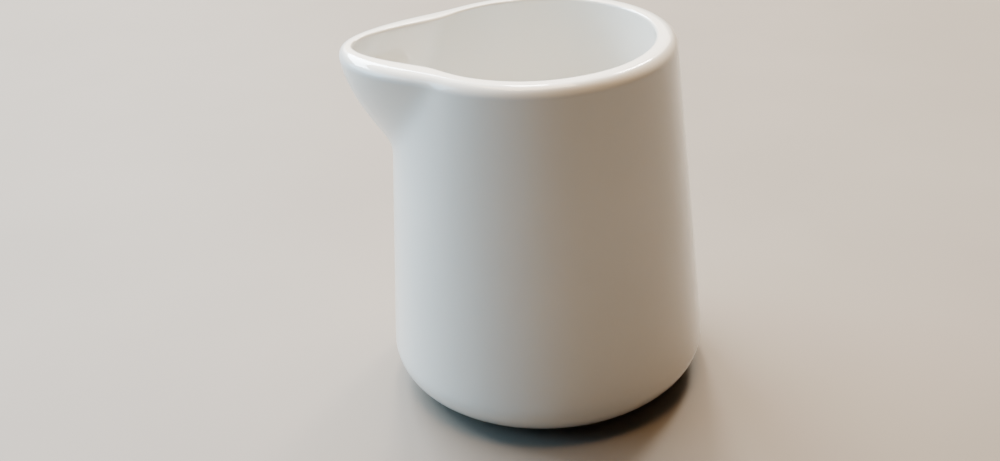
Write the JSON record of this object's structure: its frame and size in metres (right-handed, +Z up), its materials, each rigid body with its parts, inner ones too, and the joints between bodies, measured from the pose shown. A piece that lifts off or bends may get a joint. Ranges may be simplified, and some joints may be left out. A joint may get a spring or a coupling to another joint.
{
  "type": "cream jug",
  "caption": "Small conical porcelain cream jug without a handle: wide base, thick rounded rim, pinched beak spout, recessed underside on a bare foot ring.",
  "frame": {"origin": "middle of the bounding box from the spout's tip to the far wall, on the plane that the jug stands on; the jug's own axis is 2.8 mm to the +X side of it", "axes": "+Z up along the jug's axis, -X the way the spout pours, Y across the jug"},
  "size_m": [0.0774, 0.0718, 0.08],
  "materials": {
    "porcelain_body": "dense fired porcelain under the glaze",
    "bare_biscuit": "unglazed, ground flat, matt",
    "clear_glaze": "smooth glossy white glaze"
  },
  "bodies": {
    "root": {"jug_body": "porcelain_body", "pouring_spout": "porcelain_body", "foot_ring": "bare_biscuit", "glaze_coat": "clear_glaze", "base_glaze": "clear_glaze"}
  },
  "joints": []
}
